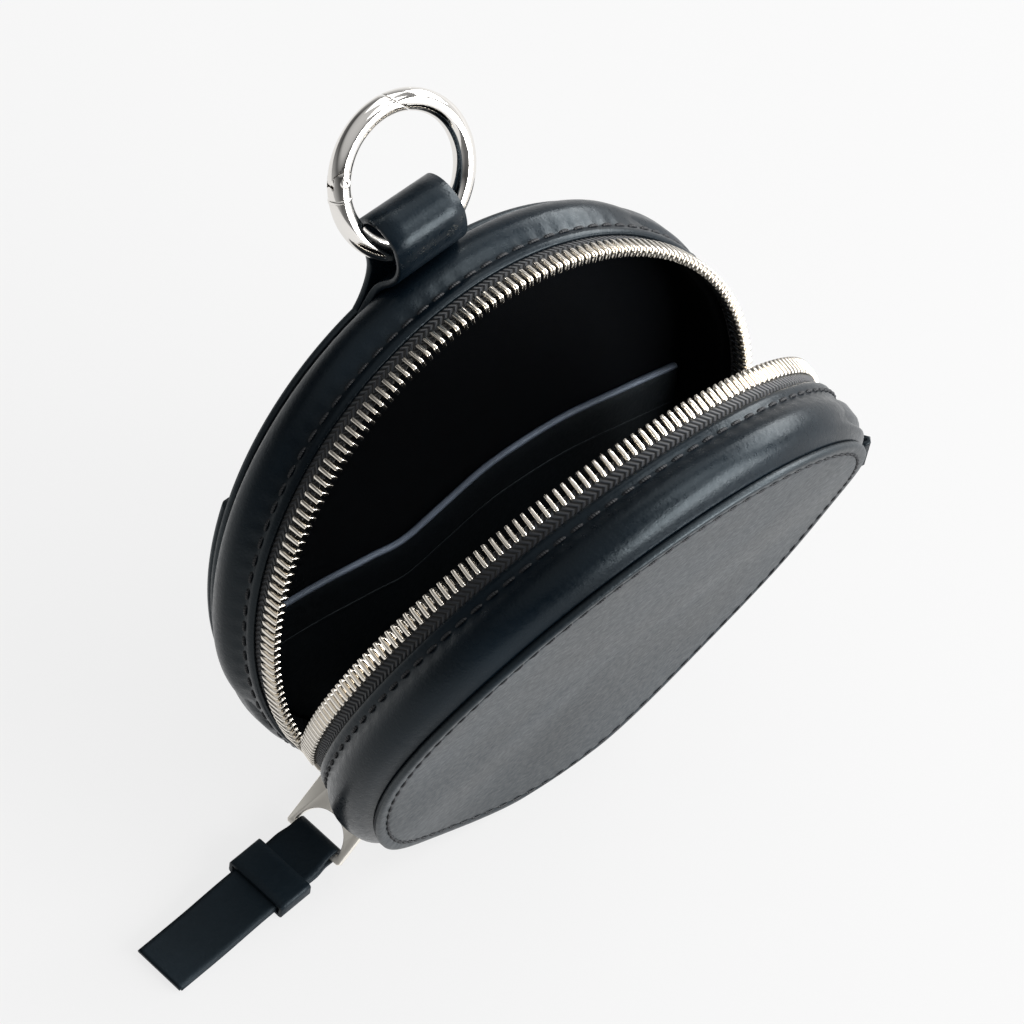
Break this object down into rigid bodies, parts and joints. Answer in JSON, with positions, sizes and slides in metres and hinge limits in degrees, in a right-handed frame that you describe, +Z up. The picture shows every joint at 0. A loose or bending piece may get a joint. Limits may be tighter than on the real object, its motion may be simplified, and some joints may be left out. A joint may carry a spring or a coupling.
{
  "type": "coin purse",
  "caption": "Round zip-around leather coin purse standing half open, with a spring-gate ring on a folded loop and a strap on the zip pull.",
  "frame": {"origin": "on the floor, under the line the two halves hinge about", "axes": "+X along the hinge line towards the zip's end tab, +Y out through the back half, +Z up"},
  "size_m": [0.1677, 0.0879, 0.147],
  "materials": {
    "black_leather": "smooth, semi-gloss",
    "lining_fabric": "dull woven cloth",
    "zip_tape_fabric": "herringbone weave",
    "stiffener_card": "raw card",
    "polished_nickel": "mirror polished",
    "satin_nickel": "lightly polished"
  },
  "bodies": {
    "base": {"base_gusset": "black_leather", "lower_zip_tape": "zip_tape_fabric", "lower_zip_teeth": "satin_nickel", "zip_bottom_stop": "satin_nickel", "zip_end_tab": "black_leather"},
    "back_half": {"back_panel": "black_leather", "back_outer_pocket": "black_leather", "back_board": "stiffener_card", "back_gusset": "black_leather", "back_lining": "lining_fabric", "back_inner_pocket": "lining_fabric", "back_zip_tape": "zip_tape_fabric", "back_zip_teeth": "satin_nickel", "back_top_stop": "satin_nickel", "hanging_loop": "black_leather"},
    "front_half": {"front_panel": "black_leather", "front_board": "stiffener_card", "front_gusset": "black_leather", "front_lining": "lining_fabric", "front_zip_tape": "zip_tape_fabric", "front_zip_teeth": "satin_nickel", "front_top_stop": "satin_nickel"},
    "slider": {"slider_body": "satin_nickel", "slider_bridge": "satin_nickel"},
    "pull": {"pull_plate": "satin_nickel"},
    "strap": {"pull_strap": "black_leather", "strap_keeper": "black_leather"},
    "ring": {"ring_body": "polished_nickel", "ring_gate_pin": "polished_nickel", "ring_gate_spring": "polished_nickel"},
    "gate": {"ring_gate": "polished_nickel"}
  },
  "joints": [
    {"name": "back_tilt", "type": "hinge", "parent": "base", "child": "back_half", "pos_m": [0, 0, 0.0393], "axis": [-1, 0, 0], "range_deg": [-12.67, 1]},
    {"name": "front_tilt", "type": "hinge", "parent": "base", "child": "front_half", "pos_m": [0, 0, 0.0393], "axis": [1, 0, 0], "range_deg": [-12.67, 1]},
    {"name": "slider_travel", "type": "hinge", "parent": "base", "child": "slider", "pos_m": [0, 0, 0.0613], "axis": [0, 1, 0], "range_deg": [0, 235]},
    {"name": "pull_swing", "type": "hinge", "parent": "slider", "child": "pull", "pos_m": [-0.03746, 0, 0.01158], "axis": [0.0976, -0.9952, 0], "range_deg": [-38, 70]},
    {"name": "strap_swing", "type": "hinge", "parent": "pull", "child": "strap", "pos_m": [-0.0489, -0.00112, 0.00205], "axis": [0.0976, -0.9952, 0], "range_deg": [-10, 90]},
    {"name": "ring_swing", "type": "hinge", "parent": "back_half", "child": "ring", "pos_m": [-0.0071, 0.03387, 0.12187], "axis": [1, 0, 0], "range_deg": [-8, 20]},
    {"name": "ring_gate_open", "type": "hinge", "parent": "ring", "child": "gate", "pos_m": [-0.01962, 0.04397, 0.13786], "axis": [0, 0.8455, -0.5339], "range_deg": [0, 28], "stiffness_Nm_per_rad": 0.004, "springref_deg": -20.05}
  ],
  "couplings": [
    {"joint": "front_tilt", "follows": "back_tilt", "ratio": 1}
  ]
}
